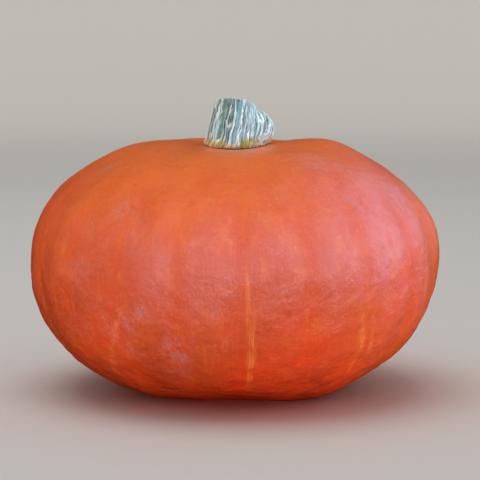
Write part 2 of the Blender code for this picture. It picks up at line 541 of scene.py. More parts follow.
# Rubbed places: azimuth, elevation and spread in degrees, and strength.
SCUFFS = (
    (-25, -4.5, 3, 1.0),
    (-30, -8, 4, 0.9),
    (-35, -11, 5, 0.7),
    (-31, -16, 4, 0.6),
    (-18, -14, 5, 0.8),
    (-16, -18, 4, 1.0),
    (-17, -24, 4, 0.8),
    (-10, -2, 2.5, 0.8),
    (-5, -3.5, 3, 0.7),
    (-47, 3, 7, 0.6),
    (-47, -12, 5, 0.5),
    (-65, 36, 5, 0.7),
    (-36, 22, 6, 0.7),
    (-48, 17, 5, 0.6),
    (-30, 15, 5, 0.5),
    (41, 25, 4, 0.9),
    (68, 25, 9, 0.8),
    (55, 30, 8, 0.6),
    (46, 9, 8, 0.6),
    (56, -1, 5, 0.7),
    (42, 44, 9, 0.8),
    (130, 15, 16, 0.7),
    (170, -20, 14, 0.8),
    (-140, 20, 14, 0.7),
    (-110, -25, 12, 0.6),
)

# Places with a thicker dull bloom of wax and a painted sheen, the pink that sky light would give
# the wax there, with the same entries.
BLOOMS_AND_SHEENS = (
    (54, 24, 20, 1.0),
    (38, 34, 10, 0.6),
    (57, -4, 12, 1.0),
    (42, 3, 7, 1.0),
    (-18, 8, 10, 1.0),
    (125, 12, 24, 0.7),
    (185, 22, 24, 0.8),
    (-115, 18, 26, 0.7),
)

STREAK_SOFTNESS = 1.5            # spread of a line, as a multiple of its half width
STREAK_WAVER = 1.6               # degrees that the lines wander between one side and the other
WORN_WIDTH = math.radians(3.0)   # half width of the worn wax along a valley
CORK_MARK = (22 * UNIT, 17 * UNIT)   # outer reach of the tan mark round the stem, thin and full
COAT_ROUGHNESS = 0.46
DRY_GLOSS = 0.35                 # specular level of cork and fibre


def new_finish(name):
    """Empty material, with its tree and the inputs of its shader."""
    made = bpy.data.materials.new(name)
    made.use_nodes = True
    return made, made.node_tree, made.node_tree.nodes["Principled BSDF"].inputs


def place_in(tree):
    """Place on a piece, in metres."""
    return result_of(tree, "ShaderNodeTexCoord", output="Object")


def stored(tree, name, output="Fac"):
    """Value that a piece keeps on its points."""
    return result_of(tree, "ShaderNodeAttribute", output=output, attribute_name=name)


def bumped(height, distance, strength, **under):
    """Normal of fine relief, whose height runs from 0 to 1 over the distance.

    A Normal that lies under the relief may be given too.
    """
    inputs = {"Height": height, "Distance": distance, "Strength": strength, **under}
    return result_of(height.tree, "ShaderNodeBump", inputs)


def patches_of(growth, places):
    """Strongest of several round patches: azimuth, elevation and spread in degrees, strength."""
    return strongest(patch(growth, *place) * strength for *place, strength in places)


def skin_patterns(tree):
    """Places and patterns on the skin that more than one of its layers reads."""
    growth = stored(tree, "growth", "Vector")
    x, y, z = split(growth)
    level = calc("MAXIMUM", calc("SQRT", x * x + y * y), 0.001)
    polar = calc("ARCCOSINE", z) * DEGREES

    def along(stretch):
        """Vector whose noise is drawn out from the crown to the base."""
        return joined(x / level, y / level, polar * stretch)

    return SimpleNamespace(
        place=place_in(tree), growth=growth, x=x, polar=polar, azimuth=heading_of(x, y),
        along=along, breaks=noise(along(0.02), 0.12))


def mottled(skin, colour):
    """Colours from the yellower crown to the red base, with blotches and freckles, a base red
    brightened as painted light, and a painted orange reflection at the right rim.
    """
    place, x, polar = skin.place, skin.x, skin.polar
    drift = wobble(place, 45 * UNIT) * 50.0 + x * 10.0
    yellower = ramp(x, 0.25, 0.9) * ramp(polar, 85, 108) * 0.5
    fibres = noise(skin.along(0.004), 0.035, detail=3.0, roughness=0.6)
    clouds = noise(place, 16 * UNIT, detail=3.0, roughness=0.55, lift=(4.0, 2.0, 1.0))
    blotchy = ramp(polar, 60, 95, 1.5, 1.0)
    darker = ramp(clouds, 0.48, 0.25) * ramp(polar, 55, 95, 0.4, 1.0)
    freckles = noise(place, 2.2 * UNIT, roughness=0.6, lift=(2.0, 9.0, 4.0))
    return layered(
        colour.crown,
        (ramp(polar + drift, 30, 88), colour.flank),
        # Painted light, partly real: the base's deeper red is brighter than the flank's, standing
        # in for light from below.
        (ramp(polar + drift, 92, 140), colour.base),
        # Painted reflection: at the right edge, from x 0.80 to 0.97, the yellower crown colour
        # stands for the warm orange that the surroundings reflect at the rim.
        (strongest([yellower, ramp(x, 0.80, 0.97) * 0.5]), colour.crown),
        (ramp(fibres, 0.50, 0.72) * 0.30, colour.crown),
        (ramp(clouds, 0.52, 0.75) * blotchy * 0.35, colour.crown),
        (darker * 0.30, colour.pit),
        (ramp(freckles, 0.60, 0.80) * 0.18, colour.streak),
        (ramp(freckles, 0.44, 0.26) * 0.35, colour.pit),
    )


def streaked(skin, ground, colour):
    """A ground with the fine grain that runs down the skin, and its yellow lines."""
    strands = noise(skin.along(0.0012), 0.006)
    waver = wobble(skin.along(0.012), 0.35, detail=1.0) * STREAK_WAVER
    lines = []
    for heading, width, slant, start, end, strength in STREAKS:
        centre = (skin.polar - 90.0) * slant + heading
        turn = wrapped(skin.azimuth * DEGREES - centre + waver, 180.0)
        reach = ramp(skin.polar, start - 6, start + 8) * ramp(skin.polar, end + 8, end - 10)
        lines.append(bell(turn, width * STREAK_SOFTNESS) * reach * strength)
    streak = strongest(lines) * ramp(strands, 0.30, 0.62) * ramp(skin.breaks, 0.25, 0.6)
    return layered(
        ground,
        (ramp(strands, 0.52, 0.80) * 0.22, colour.crown),
        (ramp(strands, 0.46, 0.22) * 0.22, colour.pit),
        (streak, colour.streak),
    )


def wax_on(skin):
    """Share of wax on the skin, which is thin in places along the valleys between the ribs."""
    off_line = wrapped(skin.azimuth - RIB_START, RIB_PITCH / 4)
    worn = bell(off_line + (skin.breaks - 0.5) * 0.05, WORN_WIDTH) * ramp(skin.breaks, 0.2, 0.4)
    return 1.0 - worn * ramp(skin.polar, 55, 75) * 0.8


def dust_and_glints_on(skin):
    """Share of a fine dull dust and of light specks on the skin, partly wax and partly painted
    sheen and glints, thinner on the left and lower down.
    """
    place, polar = skin.place, skin.polar
    dust = noise(place, 1.5 * UNIT, detail=3.0, roughness=0.7, lift=(6.0, 1.0, 8.0))
    thinner = ramp(skin.x, 0.0, -0.75, 1.0, 0.35) * ramp(polar, 95, 115, 1.0, 0.65)
    dust = ramp(dust, 0.42, 0.72) * (ramp(polar, 45, 95) * 0.07 + 0.025) * thinner
    specks = noise(place, 1.0 * UNIT, detail=1.0, lift=(7.0, 3.0, 2.0))
    sprinkled = noise(place, 17 * UNIT, lift=(1.0, 1.0, 8.0))
    specks = ramp(specks, 0.59, 0.70) * ramp(sprinkled, 0.44, 0.62) * ramp(polar, 40, 75) * 0.32
    return dust, specks


def skin_material(colour):
    """Waxy skin: grown colours and lines, bloom partly painted as sheen, rubbed places, and a soft
    coat with creases.
    """
    made, tree, shader = new_finish("squash_skin")
    skin = skin_patterns(tree)
    place = skin.place
    x, y, z = split(place)
    wax = wax_on(skin)
    misty = noise(place, 6 * UNIT, detail=3.0, roughness=0.6, lift=(9.0, 2.0, 4.0))
    bloom_and_sheen = patches_of(skin.growth, BLOOMS_AND_SHEENS) * wax * ramp(misty, 0.30, 0.65, 0.35, 1.0)

    rubbed = patches_of(skin.growth, SCUFFS)
    slanted = joined(x + z * 0.5, y, z * 0.45 - x * 0.4)
    grain = noise(slanted, 1.1 * UNIT, detail=4.0, roughness=0.8, lift=(5.0, 0.0, 3.0))
    clumps = noise(slanted, 4.5 * UNIT, detail=3.0, roughness=0.6, lift=(1.0, 3.0, 3.0))
    scuff = ramp(grain * 0.75 + clumps * 0.25 + rubbed * 0.10, 0.50, 0.66)
    scuff = scuff * (rubbed * 0.9 + 0.05)

    from_stem = vector_calc("LENGTH", joined(x - STEM_CENTRE.x, y - STEM_CENTRE.y, 0.0))
    stem_mark = ramp(from_stem + clumps * 6 * UNIT, *CORK_MARK) * ramp(skin.polar, 90, 60) * 0.4
    scar_mark = ramp(skin.polar + clumps * 4.0, 175, 178.5) * 0.9
    plug(shader["Base Color"], layered(
        streaked(skin, mottled(skin, colour), colour),
        # Pink patches that are partly wax bloom and partly painted sheen.
        (bloom_and_sheen * 0.22, colour.bloom),
        # Rubbed wax, and dust and light specks that are partly painted sheen and glints.
        (strongest([scuff * 0.55, *dust_and_glints_on(skin)]), colour.scuff),
        (strongest([stem_mark, scar_mark]), colour.bark),
    ))

    rough = noise(place, 9 * UNIT, detail=3.0, lift=(8.0, 8.0, 1.0))
    plug(shader["Roughness"], ramp(rough, 0.3, 0.7, 0.42, 0.52) + scuff * 0.2)
    plug(shader["Specular IOR Level"], 0.5)
    patches = noise(place, 11 * UNIT, detail=4.0, roughness=0.65, lift=(2.0, 6.0, 5.0))
    plug(shader["Coat Weight"], wax * ramp(patches, 0.34, 0.60, 0.45, 1.0))
    plug(shader["Coat Roughness"], COAT_ROUGHNESS)

    crinkle = noise(joined(x, y, z * 1.1), 3.4 * UNIT, roughness=0.55, lift=(1.0, 4.0, 6.0))
    pores = noise(place, 1.3 * UNIT, roughness=0.6)
    shallow = bumped(crinkle, 0.9 * UNIT, 0.32)
    deep = bumped(crinkle, 0.9 * UNIT, 0.55)
    plug(shader["Normal"], bumped(pores, 0.4 * UNIT, 0.28, Normal=shallow))
    plug(shader["Coat Normal"], bumped(pores, 0.5 * UNIT, 1.0, Normal=deep))
    return made


class SQUASH_OT_fruit(bpy.types.Operator):
    """Grow the fruit with its ribs, cavity, blossom scar and skin."""

    bl_idname = "squash.fruit"
    bl_label = "Grow Fruit"

    def execute(self, context):
        shape = context.scene.squash_fruit
        finish = skin_material(context.scene.squash_skin)
        piece = grown("squash_fruit", fruit_tree(shape), {**sizes_in(shape), "Finish": finish})
        settle_in_box(piece, FRUIT_LOW, FRUIT_HIGH)
        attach(piece, "root")
        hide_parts("fruit")
        return {"FINISHED"}


# Stem shape ---------------------------------------------------------------------------------


class StemShape(bpy.types.PropertyGroup):
    """Sizes of the stem, which three rounded forms make together."""

    trunk_left: size_setting(
        "Trunk Left", "From the stem's axis to its left side", 13.7 * UNIT)
    trunk_right: size_setting(
        "Trunk Right", "From the stem's axis to its right side", 11.2 * UNIT)
    trunk_depth: size_setting(
        "Trunk Depth", "From the stem's axis to its front", 12.4 * UNIT)
    trunk_height: size_setting(
        "Trunk Height", "Height of the trunk before its end is cut", 30.0 * UNIT)
    flare_width: size_setting(
        "Flare Width", "From the stem's axis to the side of its foot", 14.3 * UNIT)
    flare_depth: size_setting(
        "Flare Depth", "From the stem's axis to the front of its foot", 14.5 * UNIT)
    flare_height: size_setting(
        "Flare Height", "Height at which the foot has drawn in", 5.5 * UNIT)
    lobe_length: size_setting(
        "Lobe Length", "From the stem's axis to the end of the side lobe", 21.2 * UNIT)
    lobe_radius: size_setting(
        "Lobe Radius", "Half thickness of the side lobe", 9.3 * UNIT)
    cut_height: size_setting(
        "Cut Height", "From the stem's centre to the cut end", 18.7 * UNIT)
    ridge_height: size_setting(
        "Ridge Height", "Height of the cork ridges over the green bark", 1.0 * UNIT)
    columns: count_setting("Columns", "Faces round the stem", 690, least=24)
    rings: count_setting(
        "Rings", "Faces from the cut end to the middle of the underside", 140, least=12)


STEM_CENTRE = Vector((
    STEM_LOW.x + STEM_SIZE.x * 0.4777,
    STEM_LOW.y + STEM_SIZE.y * 0.4954,
    STEM_LOW.z + STEM_SIZE.z * 0.0824,
))
TRUNK_FULLNESS = 4.0            # squareness of the trunk and the lobe seen from the side
LOBE_FULLNESS = 2.5
STEM_TAPER = 15.9               # share by which the stem draws in for each metre of height
TAPER_HEIGHT = 6.5 * UNIT       # at which the stem has the widths of its settings
STEM_SQUARENESS = 2.5           # of a level section
LOBE_AXIS = direction(84, 37.5)  # along which the side lobe points
STEM_BLEND = 26.0               # the higher, the sharper the three forms meet
CUT_AXIS = direction(165, 75.5)  # square to the cut end
CUT_BLEND = 2.4 * UNIT          # roundness of the cut end's edge
SEAT_SHARE = 0.12               # of the rings lies under the foot
SEAT_DEPTH = 0.7 * UNIT         # of the underside below the fruit's skin
FIBRE_RADIUS = 13.0 * UNIT      # at which the pattern of the fibres has its true size
FIBRE_LEVEL = 10 * UNIT         # height at which a fibre has the heading that it is named by
FIBRE_TOP = 20.5 * UNIT         # height at which the fibres stop twisting
FIBRE_TWIST = 34.0              # radians for each metre of height, at the right side

# Bands of bare bark between the cork ridges: azimuth and half width in degrees at half
# height, heights in millimetres where a band starts and ends, depth, and tone, which runs
# from -1 for brown through 0 for green to 1 for blue.
BARK_BANDS = (
    (-74, 9.0, -1, 17, 0.85, -1.0),
    (-58, 1.6, 1, 15, 0.5, -0.8),
    (-36, 4.4, 3, 22, 1.0, 0.3),
    (-26, 1.7, 7, 19, 1.2, -1.0),
    (-17, 2.0, 1, 8, 0.8, 0.9),
    (1, 3.6, 1, 22, 1.0, 0.8),
    (13, 1.5, 9, 20, 0.7, 0.5),
    (25, 1.3, 4, 15, 0.5, 1.0),
    (52, 2.0, 3, 13, 0.8, 0.5),
    (70, 12.0, -3, 2, 0.9, -1.0),
    (74, 1.6, 10, 19, 0.9, -1.0),
    (66, 1.4, 4, 12, 0.6, 0.4),
    (88, 3.2, 2, 14, 0.9, 0.4),
    (112, 4.5, 2, 18, 1.0, 0.5),
    (136, 2.0, 3, 20, 0.8, -0.5),
    (158, 4.8, 1, 21, 1.0, 0.7),
    (184, 2.0, 4, 17, 0.8, 0.1),
    (206, 4.0, 2, 21, 1.0, 0.3),
    (232, 2.4, 2, 19, 0.9, -0.6),
    (254, 4.2, 1, 20, 1.0, 0.4),
)


def squarish(across, along):
    """Size of a level section whose corners are a little fuller than an ellipse's."""
    return (abs(across) ** STEM_SQUARENESS + abs(along) ** STEM_SQUARENESS) ** (
        1 / STEM_SQUARENESS)


def stem_reach(size, outward):
    """Distance from the stem's centre to its smooth surface in one direction."""
    x, y, z = split(outward)
    right = calc("GREATER_THAN", x, 0.0)
    side = size["Trunk Left"] + (size["Trunk Right"] - size["Trunk Left"]) * right
    level = squarish(x / side, y / size["Trunk Depth"])
    trunk = section_radius(level, z, size["Trunk Height"], TRUNK_FULLNESS)
    level = squarish(x / size["Flare Width"], y / size["Flare Depth"])
    flare = (level ** 2.0 + (z / size["Flare Height"]) ** 2.0) ** -0.5
    along = vector_calc("DOT_PRODUCT", outward, LOBE_AXIS)
    across = calc("SQRT", calc("MAXIMUM", 1.0 - along * along, 0.0))
    ahead = calc("GREATER_THAN", along, 0.0)
    reach = size["Lobe Radius"] + (size["Lobe Length"] - size["Lobe Radius"]) * ahead
    lobe = section_radius(across / size["Lobe Radius"], along, reach, LOBE_FULLNESS)
    unit = size["Trunk Height"]
    blend = sum((form / unit) ** STEM_BLEND for form in (trunk, flare, lobe))
    return blend ** (1 / STEM_BLEND) * unit


def skin_below(ground, x, y):
    """Height of the ground object's top straight below or above a place."""
    return split(hit_on(ground, joined(x, y, 1.0), (0.0, 0.0, -1.0), 2.0))[2]


def fibre_turn(turn, height):
    """Heading at a height of the fibre that is named by the heading it has 10 mm up.

    The fibres twist most at the right side and hardly at the left, and sway a little.
    """
    ring = round_axis(turn, 1.0, height * (1 / FIBRE_RADIUS))
    sway = wobble(ring, 0.5, detail=1.0, lift=(3.0, 0.0, 0.0)) * 0.22
    twist = (height - FIBRE_LEVEL) * (calc("SINE", turn) + 1.0) * (FIBRE_TWIST / 2)
    return turn + twist + sway


def bark_bands(fibre):
    """How bare the bark is at a place, and its tone."""
    x, y, z = split(fibre)
    turn = heading_of(x, y) * DEGREES
    height = z + wobble(fibre, 2.5 * UNIT, detail=1.0, lift=(4.0, 4.0, 4.0)) * 7.0 * UNIT
    bands, tones = [], []
    for heading, width, low, high, depth, tone in BARK_BANDS:
        away = wrapped(turn - heading, 180.0) / (width * 1.15)
        band = calc("EXPONENT", -(away * away) ** 2.0) * depth
        band = band * ramp(height, (low - 1) * UNIT, (low + 1) * UNIT)
        band = band * ramp(height, (high + 1) * UNIT, (high - 1) * UNIT)
        bands.append(band)
        tones.append(band * tone)
    return strongest(bands), sum(tones)


def cork_crests(fibre, bark):
    """Cork ridges, from about 1 on a crest to -1 in a crevice, low where the bark is bare."""
    x, y, z = split(fibre)
    broad = wobble(joined(x, y, z * 0.07), 2.1 * UNIT, detail=0.0, lift=(0.0, 2.0, 5.0))
    slim = wobble(joined(x, y, z * 0.12), 1.15 * UNIT, detail=0.0, lift=(6.0, 2.0, 0.0))
    cork = calc("SMOOTH_MAX", 1.0 - abs(broad) * 16.0, 0.8 - abs(slim) * 13.0, 0.3)
    cork = calc("SMOOTH_MAX", cork, -1.0, 0.4)
    return cork * (1.0 - bark * 0.8) - bark * 0.75


def stem_grid(ball):
    """Faces of the stem before it has its shape, in columns that run along the fibres.

    Each point keeps its direction from the stem's centre, its share of the way out from the
    middle of the underside, which is 1 above the foot, and its place on the fibres.
    """
    x, y, z = split(position_in(ball.tree))
    share = calc("ARCCOSINE", z) / math.pi
    rise = calc("MAXIMUM", 1.0 - share / (1 - SEAT_SHARE), 0.0) * (math.pi / 2)
    inner = calc("MINIMUM", (1.0 - share) / SEAT_SHARE, 1.0)
    level = calc("COSINE", rise)
    height = calc("TANGENT", calc("MINIMUM", rise, 1.2)) * FIBRE_RADIUS
    height = calc("SMOOTH_MIN", height, FIBRE_TOP, 4 * UNIT)
    turn = heading_of(x, y)
    heading = fibre_turn(turn, height)
    outward = round_axis(heading, level, calc("SINE", rise))
    ring = round_axis(turn, FIBRE_RADIUS, 0.0)
    stem, outward = held(ball, "outward", outward, "FLOAT_VECTOR")
    stem, inner = held(stem, "inner", inner)
    stem, fibre = held(stem, "fibre", ring, "FLOAT_VECTOR")
    return stem, outward, inner, fibre


def seated(stem, ground, inner):
    """The stem with its foot drawn down to the skin and its underside a little below it."""
    x, y, z = split(position_in(stem.tree))
    stem, skin = held(stem, "skin_height", skin_below(ground, x, y))
    gap = noise(joined(x, y, 0.0), 3.0 * UNIT, detail=1.0)
    edge = skin + (gap * 1.4 - 0.45) * UNIT
    wall = z + (edge - STEM_CENTRE.z) * ramp(z - STEM_CENTRE.z, 6 * UNIT, 0.0)
    under = edge * ramp(inner, 0.80, 1.0) + (skin - SEAT_DEPTH) * ramp(inner, 1.0, 0.80)
    below = calc("LESS_THAN", inner, 0.999)
    stem = moved(stem, Position=joined(x, y, under * below + wall * (1.0 - below)))
    return kept(stem, "height", split(position_in(stem.tree))[2] - skin)


def stem_tree(shape):
    """Geometry tree that grows the stem on the fruit."""
    tree, size = new_shape_tree("squash_stem_growth", sizes_in(shape), Ground="Object")
    stem, outward, inner, fibre = stem_grid(unit_ball(tree, shape))
    reach = stem_reach(size, outward)
    facing = calc("MAXIMUM", vector_calc("DOT_PRODUCT", outward, CUT_AXIS), 0.05)
    cut_reach = size["Cut Height"] / facing
    stem, on_cut = held(stem, "cut", ramp(reach - cut_reach, -0.2 * UNIT, 1.6 * UNIT))
    capped = calc("SMOOTH_MIN", reach, cut_reach, CUT_BLEND)
    stem = moved(stem, Position=scaled(outward, capped * inner))
    x, y, z = split(position_in(tree))
    taper = 1.0 - (z - TAPER_HEIGHT) * STEM_TAPER
    stem = moved(stem, Position=joined(x * taper, y * taper, z))
    raised = vector_calc("ADD", fibre, joined(0.0, 0.0, z))
    stem, fibre = held(stem, "fibre", raised, "FLOAT_VECTOR")
    bark, tone = bark_bands(fibre)
    stem, bark = held(stem, "bark", bark * (1.0 - on_cut))
    stem = kept(stem, "tone", tone)
    ridges = cork_crests(fibre, bark)
    rough = wobble(position_in(tree), 1.5 * UNIT, lift=(7.0, 7.0, 2.0)) * 3.0
    stem, cork = held(stem, "cork", ridges + (rough - ridges) * on_cut)

    x, y, z = split(fibre)
    toes = wobble(joined(x, y, 0.0), 3.6 * UNIT, lift=(9.0, 0.0, 0.0))
    proud = size["Ridge Height"] * (1.0 - on_cut * 0.4) * ramp(z, -1 * UNIT, 5 * UNIT, 0.3, 0.7)
    lift = (cork - 0.1) * proud + toes * ramp(z, 3.5 * UNIT, 0.0) * 3.2 * UNIT
    from_axis = vector_calc("LENGTH", vector_calc("MULTIPLY", position_in(tree), (1.0, 1.0, 0.0)))
    hollow = ramp(from_axis, 5.5 * UNIT, 1.5 * UNIT) * on_cut * 1.6 * UNIT
    stem = moved(stem, Offset=scaled(outward, lift * inner - hollow))
    stem = moved(stem, Offset=STEM_CENTRE)
    finish_tree(seated(stem, size["Ground"], inner), size["Finish"])
    return tree


# Cork ---------------------------------------------------------------------------------------


class CorkFinish(bpy.types.PropertyGroup):
    """Colours of the stem."""

    cork: colour_setting("Cork", "Bluish white of the ridges", (0.52, 0.57, 0.56))
    # Painted light: the cork's white made bluer and paler at the right of the stem, as sky light
    # makes it.
    chalk: colour_setting("Chalk", "Bluer white of the ridges at the right", (0.65, 0.80, 0.90))
    frost: colour_setting("Frost", "Cooler and darker shade of the ridges", (0.385, 0.50, 0.57))
    umber: colour_setting("Umber", "Brown of dry bark", (0.14, 0.105, 0.055))
    # Crevice is partly the grey green bark between the ridges and partly painted shade that darkens
    # it.
    crevice: colour_setting("Crevice", "Grey green between the ridges", (0.195, 0.24, 0.22))
    green: colour_setting("Green", "Green of the bare bark", (0.095, 0.19, 0.13))
    blue: colour_setting("Blue", "Blue bloom on the bare bark", (0.15, 0.33, 0.36))
    collar: colour_setting("Collar", "Olive yellow just above the foot", (0.34, 0.25, 0.015))
    foot: colour_setting("Foot", "Tan of the foot's edge", (0.60, 0.37, 0.22))
    straw: colour_setting("Straw", "Cream of the strands under the side lobe", (0.64, 0.61, 0.56))
    pith: colour_setting("Pith", "Dry tan of the cut end", (0.42, 0.33, 0.21))


def cork_material(colour):
    """Pale cork ridges over bands of coloured bark, with a yellow collar and a dry cut end."""
    made, tree, shader = new_finish("stem_cork")
    fibre = stored(tree, "fibre", "Vector")
    cork, bark, tone, height, on_cut = (
        stored(tree, name) for name in ("cork", "bark", "tone", "height", "cut"))
    x, y, z = split(fibre)
    strands = noise(joined(x, y, z * 0.12), 0.62 * UNIT, detail=3.0, roughness=0.6)
    clouds = noise(fibre, 4 * UNIT, lift=(1.0, 7.0, 3.0))
    # Painted light: the stem is whiter and bluer towards the right and in a band facing the front
    # right, where sky light falls.
    sky_lit_band = bell(heading_of(x, y) * DEGREES - 40.0, 24.0)
    white = mixed(ramp(x, -9 * UNIT, 7 * UNIT), colour.cork, colour.chalk)
    pale = mixed(ramp(clouds, 0.35, 0.65) * (1.0 - sky_lit_band * 0.7), white, colour.frost)
    bare = layered(
        colour.green,
        (ramp(tone, 0.1, 0.8), colour.blue),
        (ramp(tone, -0.1, -0.7), colour.umber),
    )
    # Between the ridges: grey green bark darkened as painted shade, and paler and bluer at the
    # right as painted sky light.
    crevices_and_shade = layered(
        colour.crevice,
        (ramp(x, -6 * UNIT, 5 * UNIT) * 0.75, colour.frost),
        (ramp(clouds, 0.4, 0.6) * 0.7, bare),
        (sky_lit_band * 0.5, colour.chalk),
    )
    low = wobble(joined(x, y, z * 0.4), 2.4 * UNIT, lift=(3.0, 3.0, 0.0))
    patchy = wobble(joined(x, y, z * 0.3), 6 * UNIT, detail=1.0, lift=(8.0, 1.0, 2.0))
    rim = height + low * 5.0 * UNIT + patchy * 9.0 * UNIT
    yellowed = mixed(ramp(patchy + low * 0.5, 0.16, 0.04), colour.foot, colour.collar)
    collar = ramp(rim, 5.2 * UNIT, 2.7 * UNIT) * ramp(low, -0.20, -0.06) * 0.9
    # Painted shadow, partly real bark and tan foot: a ragged dark band at the bottom of the stem,
    # where it meets the skin.
    hem_and_contact_shade = ramp(height + low * 3.0 * UNIT, 2.0 * UNIT, 0.7 * UNIT) * 0.75
    grit = noise(place_in(tree), 1.1 * UNIT, detail=3.0, roughness=0.6)
    plug(shader["Base Color"], layered(
        crevices_and_shade,
        # More pale cork shows in the band of painted sky light.
        (ramp(cork + sky_lit_band * 0.5, -0.45, 0.65), pale),
        # Painted shade, partly dry bark: a thin dark brown line along the flank of each crest.
        (bell(cork + 0.30, 0.24) * 0.5, colour.umber),
        (ramp(strands, 0.47, 0.36) * 0.6, colour.crevice),
        (ramp(strands, 0.40, 0.30) * 0.5, colour.umber),
        (ramp(bark, 0.25, 0.7), bare),
        (ramp(strands, 0.52, 0.64) * ramp(bark, 0.3, 0.8) * 0.6, pale),
        (collar, yellowed),
        # Dark brown and tan band at the stem's foot, partly painted contact shadow.
        (hem_and_contact_shade, mixed(ramp(strands, 0.4, 0.6), colour.umber, colour.foot)),
        (ramp(on_cut + (grit - 0.5) * 0.8, 0.45, 0.9),
         mixed(ramp(grit, 0.28, 0.72, 0.5, 1.0), colour.umber, colour.pith)),
    ))
    plug(shader["Roughness"], ramp(bark, 0.2, 0.8, 0.88, 0.62))
    plug(shader["Specular IOR Level"], DRY_GLOSS)
    plug(shader["Normal"], bumped(strands, 0.3 * UNIT, 0.8))
    return made


class SQUASH_OT_stem(bpy.types.Operator):
    """Grow the corky stem on the fruit."""

    bl_idname = "squash.stem"
    bl_label = "Grow Stem"

    def execute(self, context):
        shape = context.scene.squash_stem
        values = sizes_in(shape)
        values["Ground"] = bpy.data.objects["squash_fruit"]
        values["Finish"] = cork_material(context.scene.squash_cork)
        piece = grown("squash_stem", stem_tree(shape), values)
        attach(piece, "root")
        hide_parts("stem")
        return {"FINISHED"}


# Threads ------------------------------------------------------------------------------------


class ThreadShape(bpy.types.PropertyGroup):
    """Loose fibres that lie on the stem."""

    count: count_setting("Count", "Loose fibres all round the stem", 46)
    thickness: size_setting("Thickness", "Diameter of a loose fibre", 0.35 * UNIT)
    root_count: count_setting("Root Count", "Thicker strands at the foot of the side lobe", 14)
    root_thickness: size_setting(
        "Root Thickness", "Diameter of a strand at the foot of the side lobe", 0.5 * UNIT)
    seed: IntProperty(name="Seed", description="Draw of the random numbers", default=4)


THREAD_SIZES = ("Thickness", "First Turn", "Turn Span", "Low", "Height Span", "Length", "Slant",
                "Waviness")
THREAD_STEPS = 26
THREAD_SIDES = 7
THREAD_SOFTENING = 6           # rounds in which a thread settles over the ridges
PROBE_REACH = 60 * UNIT        # from the stem's axis to where the search for its side starts


def numbered_strands(tree, count):
    """Straight curves with a number each, in the attribute strand."""
    line = result_of(tree, "GeometryNodeCurvePrimitiveLine")
    strand = result_of(tree, "GeometryNodeResampleCurve", {"Curve": line, "Count": THREAD_STEPS})
    points = result_of(tree, "GeometryNodePoints", {"Count": count})
    spread = result_of(tree, "GeometryNodeInstanceOnPoints", {"Points": points, "Instance": strand})
    index = result_of(tree, "GeometryNodeInputIndex")
    numbered = kept(spread, "strand", index, "INT", "INSTANCE")
    return result_of(tree, "GeometryNodeRealizeInstances", {"Geometry": numbered})


def thread_tree():
    """Geometry tree that lays thin strands along the fibres of the stem."""
    tree, size = new_shape_tree(
        "squash_thread_growth", THREAD_SIZES, Count="Int", Seed="Int", Ground="Object")
    curves = numbered_strands(tree, size["Count"])
    along = result_of(tree, "GeometryNodeSplineParameter", output="Factor")
    ident = attribute_in(tree, "strand", "INT")

    def pick(low, high, salt):
        """Random number between two values, one for each thread."""
        return result_of(tree, "FunctionNodeRandomValue", {
            2: low, 3: high, "ID": ident, "Seed": size["Seed"] + float(salt)}, 1,
            data_type="FLOAT")

    wave = calc("SINE", along * pick(5.0, 11.0, 3) + pick(0.0, 6.0, 4)) * pick(0.2, 1.0, 5)
    turn = size["First Turn"] + size["Turn Span"] * pick(0.0, 1.0, 1)
    turn = turn + size["Slant"] * along + wave * size["Waviness"]
    z = size["Low"] + size["Height Span"] * pick(0.0, 1.0, 2)
    z = z + size["Length"] * pick(0.5, 1.0, 8) * along
    heading = fibre_turn(turn, z)
    across = round_axis(heading, 1.0, 0.0)
    axis = vector_calc("ADD", joined(0.0, 0.0, z), STEM_CENTRE)
    start = vector_calc("ADD", axis, scaled(across, PROBE_REACH))
    surface = hit_on(size["Ground"], start, scaled(across, -1.0), PROBE_REACH)
    clear = scaled(across, size["Thickness"] * pick(0.0, 0.4, 6))
    curves = moved(curves, Position=vector_calc("ADD", surface, clear))
    settled = result_of(
        tree, "GeometryNodeBlurAttribute",
        {"Iterations": THREAD_SOFTENING, "Value": position_in(tree)}, "Value",
        data_type="FLOAT_VECTOR")
    curves = moved(curves, Position=settled)
    curves = kept(curves, "shade", pick(0.0, 1.0, 9))
    ends = calc("SQRT", calc("MAXIMUM", along * (1.0 - along) * 4.0, 0.05))
    ring = result_of(tree, "GeometryNodeCurvePrimitiveCircle",
                     {"Resolution": THREAD_SIDES, "Radius": 0.5})
    tube = result_of(tree, "GeometryNodeCurveToMesh", {
        "Curve": curves,
        "Profile Curve": ring,
        "Scale": ends * pick(0.6, 1.0, 7) * size["Thickness"],
        "Fill Caps": True,
    })
    finish_tree(tube, size["Finish"])
    return tree


def thread_material(name, dark, light):
    """Dry fibre whose strands differ between two colours."""
    made, tree, shader = new_finish(name)
    grain = noise(place_in(tree), 1.2 * UNIT)
    plug(shader["Base Color"], mixed(stored(tree, "shade") * 0.7 + grain * 0.4, dark, light))
    plug(shader["Roughness"], 0.85)
    plug(shader["Specular IOR Level"], DRY_GLOSS)
    return made


